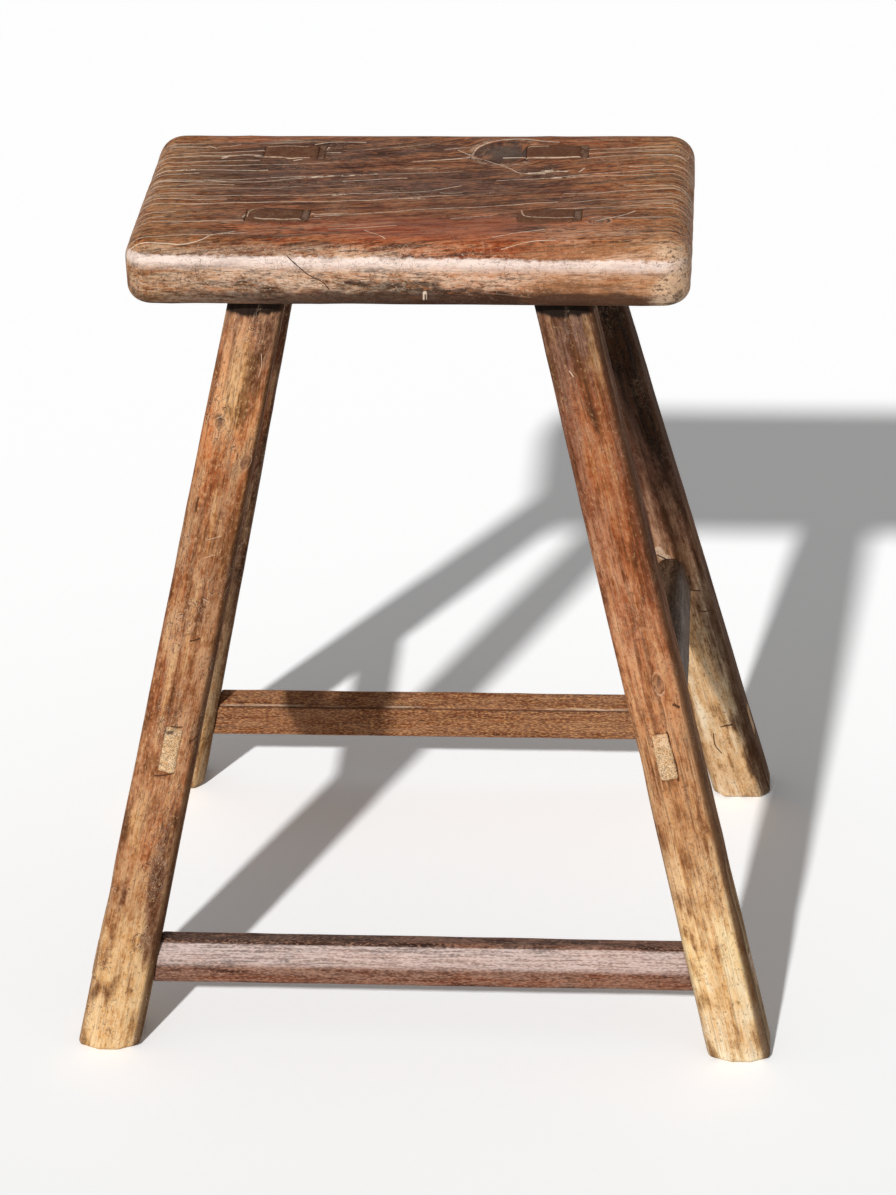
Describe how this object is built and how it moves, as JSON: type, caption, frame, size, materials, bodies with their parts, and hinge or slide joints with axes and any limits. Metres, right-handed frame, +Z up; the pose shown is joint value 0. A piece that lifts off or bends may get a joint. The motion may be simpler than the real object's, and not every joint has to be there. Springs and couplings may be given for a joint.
{
  "type": "workman's stool",
  "caption": "Rustic wooden stool: a thick, slightly dished plank seat on splayed legs, tied by low and mid-height stretchers, with wedged through-tenons.",
  "frame": {"origin": "on the floor, at the middle of the stool's footprint", "axes": "+X along the seat to the right, +Y to the back, +Z up"},
  "size_m": [0.4296, 0.3378, 0.51],
  "materials": {
    "seat_wood": "old dark patina, worn to tan on the front edge",
    "leg_wood": "worn red-brown, paler towards the feet",
    "stretcher_wood": "dark red-brown, rubbed smooth",
    "wedge_wood": "pale end grain"
  },
  "bodies": {
    "root": {"seat_plank": "seat_wood", "front_left_leg": "leg_wood", "front_right_leg": "leg_wood", "rear_left_leg": "leg_wood", "rear_right_leg": "leg_wood", "front_stretcher": "stretcher_wood", "rear_stretcher": "stretcher_wood", "left_stretcher": "stretcher_wood", "right_stretcher": "stretcher_wood", "front_left_tenon_wedge": "wedge_wood", "front_right_tenon_wedge": "wedge_wood", "rear_left_tenon_wedge": "wedge_wood", "rear_right_tenon_wedge": "wedge_wood", "right_stretcher_wedge": "wedge_wood"}
  },
  "joints": []
}
